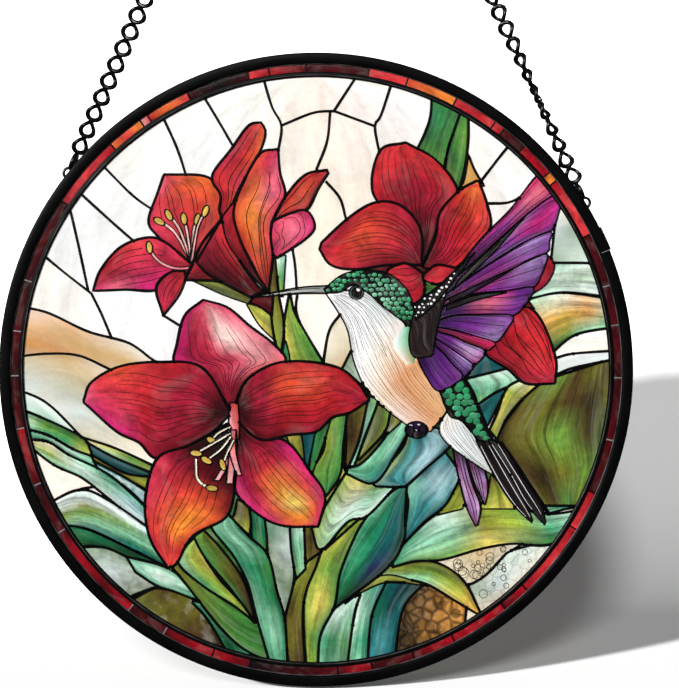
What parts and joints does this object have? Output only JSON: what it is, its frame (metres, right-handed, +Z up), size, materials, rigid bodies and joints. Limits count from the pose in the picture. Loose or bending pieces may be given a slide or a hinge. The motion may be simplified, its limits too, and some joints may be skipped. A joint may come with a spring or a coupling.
{
  "type": "stained glass suncatcher",
  "caption": "Round stained glass suncatcher with a hummingbird and lilies, in a black metal rim with a brick border, hung on a black curb chain.",
  "frame": {"origin": "where a hook bears, at the inside top of the top ring", "axes": "+Z up, against the pull of the hook; the picture faces -Y, away from the window or wall behind; +X to the right of the picture"},
  "size_m": [0.2, 0.0085, 0.3482],
  "materials": {
    "black_metal": "semi-gloss black",
    "black_came": "dark patina on lead, bright where rubbed",
    "border_glass": "streaky opalescent glass in reds and browns",
    "picture_glass": "cut opalescent glass in many colours, leaded"
  },
  "bodies": {
    "root": {"rim": "black_metal", "border_glass": "border_glass", "border_came": "black_came", "picture_glass": "picture_glass", "left_eye": "black_metal", "right_eye": "black_metal", "left_link_01": "black_metal", "left_link_02": "black_metal", "left_link_03": "black_metal", "left_link_04": "black_metal", "left_link_05": "black_metal", "left_link_06": "black_metal", "left_link_07": "black_metal", "left_link_08": "black_metal", "left_link_09": "black_metal", "left_link_10": "black_metal", "left_link_11": "black_metal", "left_link_12": "black_metal", "left_link_13": "black_metal", "left_link_14": "black_metal", "left_link_15": "black_metal", "left_link_16": "black_metal", "left_link_17": "black_metal", "left_link_18": "black_metal", "left_link_19": "black_metal", "left_link_20": "black_metal", "left_link_21": "black_metal", "left_link_22": "black_metal", "left_link_23": "black_metal", "left_link_24": "black_metal", "right_link_01": "black_metal", "right_link_02": "black_metal", "right_link_03": "black_metal", "right_link_04": "black_metal", "right_link_05": "black_metal", "right_link_06": "black_metal", "right_link_07": "black_metal", "right_link_08": "black_metal", "right_link_09": "black_metal", "right_link_10": "black_metal", "right_link_11": "black_metal", "right_link_12": "black_metal", "right_link_13": "black_metal", "right_link_14": "black_metal", "right_link_15": "black_metal", "right_link_16": "black_metal", "right_link_17": "black_metal", "right_link_18": "black_metal", "right_link_19": "black_metal", "right_link_20": "black_metal", "right_link_21": "black_metal", "right_link_22": "black_metal", "right_link_23": "black_metal", "right_link_24": "black_metal", "left_upper_links": "black_metal", "right_upper_links": "black_metal", "top_ring": "black_metal"}
  },
  "joints": []
}
